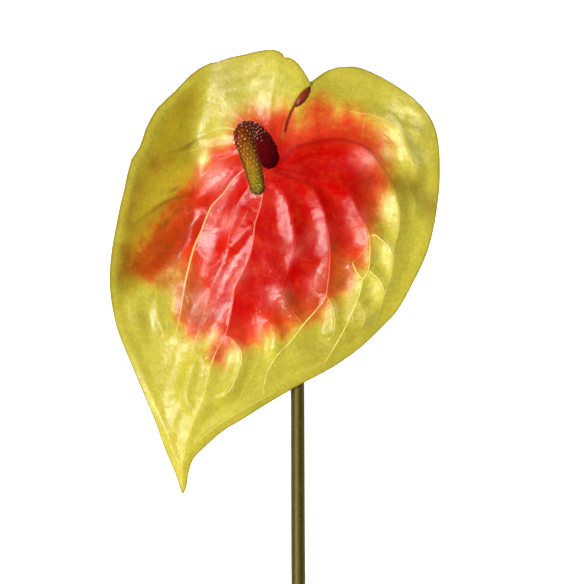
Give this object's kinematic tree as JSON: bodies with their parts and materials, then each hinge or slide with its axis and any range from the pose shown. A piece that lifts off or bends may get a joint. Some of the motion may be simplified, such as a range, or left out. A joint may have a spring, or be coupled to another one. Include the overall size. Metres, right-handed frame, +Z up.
{
  "type": "cut anthurium stem",
  "caption": "Cut anthurium lying on its back: long round stem, heart-shaped blistered red and yellow-green spathe, and a bent spadix covered with florets.",
  "frame": {"origin": "on the surface the flower lies on, under the middle of its box", "axes": "+Z up, out of the open face of the spathe; +Y along the stem from the cut end to the flower"},
  "size_m": [0.149, 0.72, 0.0666],
  "materials": {
    "stem": "smooth waxy olive-green stalk, darker brown on one side",
    "spathe": "glossy waxy blistered bract, red in the middle, yellow-green round it",
    "spadix": "fleshy spike with tiny florets, maroon at the foot, olive-yellow at the tip"
  },
  "bodies": {
    "root": {"stem": "stem", "spathe": "spathe", "spadix": "spadix"}
  },
  "joints": []
}
